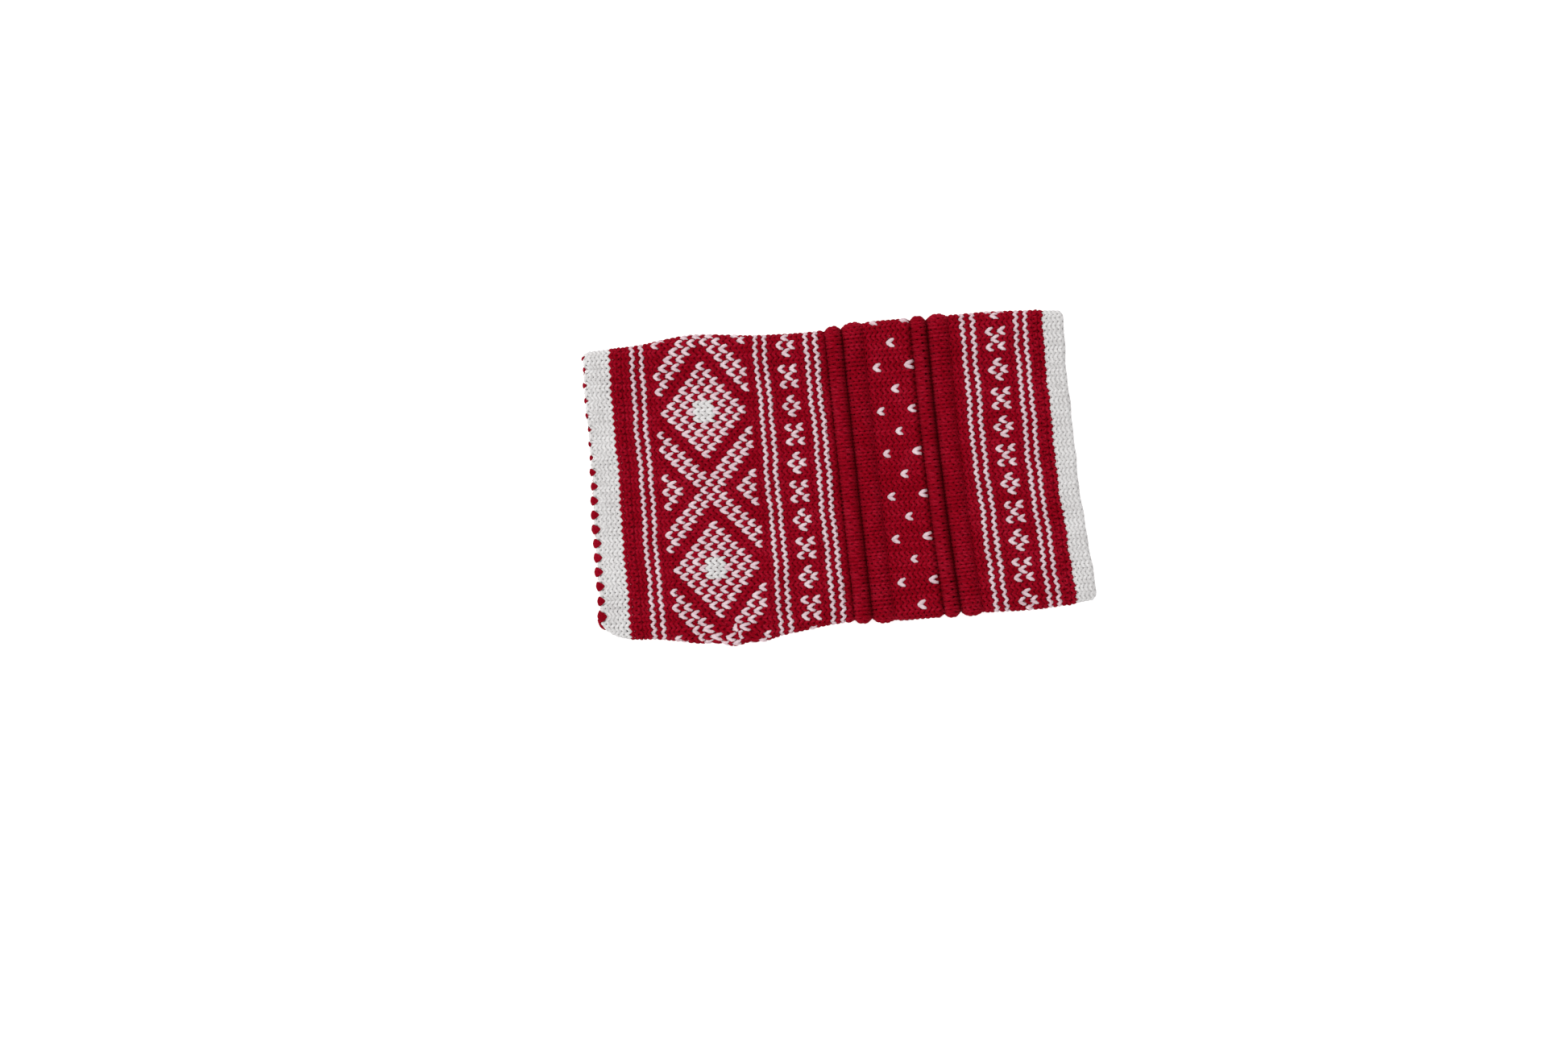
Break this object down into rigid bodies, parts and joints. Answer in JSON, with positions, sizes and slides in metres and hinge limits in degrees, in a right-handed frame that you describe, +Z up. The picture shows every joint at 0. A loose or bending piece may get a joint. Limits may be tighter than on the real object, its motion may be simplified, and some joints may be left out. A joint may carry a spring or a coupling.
{
  "type": "knitted wrist and hand warmer",
  "caption": "Thumbless knitted tube in red and white wool, lying flat, with folded hems, stripes, patterned bands and raised welts.",
  "frame": {"origin": "under the middle of the tube, on the surface it lies on", "axes": "+X along the tube from the started end (picot hem) to the finished end (plain hem), +Y across the tube, +Z up out of the surface"},
  "size_m": [0.1722, 0.108, 0.0129],
  "materials": {
    "red_wool": "matte wool",
    "white_wool": "matte wool"
  },
  "bodies": {
    "root": {"left_hem": "white_wool", "left_hem_facing": "red_wool", "left_hem_tacking": "white_wool", "left_border": "red_wool", "stripe_a_first": "white_wool", "stripe_a_middle": "red_wool", "stripe_a_last": "white_wool", "stripe_b_first": "white_wool", "stripe_b_middle": "red_wool", "stripe_b_last": "white_wool", "stripe_c_first": "white_wool", "stripe_c_middle": "red_wool", "stripe_c_last": "white_wool", "stripe_d_first": "white_wool", "stripe_d_middle": "red_wool", "stripe_d_last": "white_wool", "stripe_e_first": "white_wool", "stripe_e_middle": "red_wool", "stripe_e_last": "white_wool", "diamond_band": "red_wool", "diamond_floats": "white_wool", "left_motif_band": "red_wool", "left_motif_floats": "white_wool", "left_welts": "red_wool", "dot_band": "red_wool", "dot_floats": "white_wool", "right_welts": "red_wool", "right_motif_band": "red_wool", "right_motif_floats": "white_wool", "right_border": "red_wool", "right_hem": "white_wool", "right_hem_facing": "red_wool", "right_hem_tacking": "white_wool"}
  },
  "joints": []
}
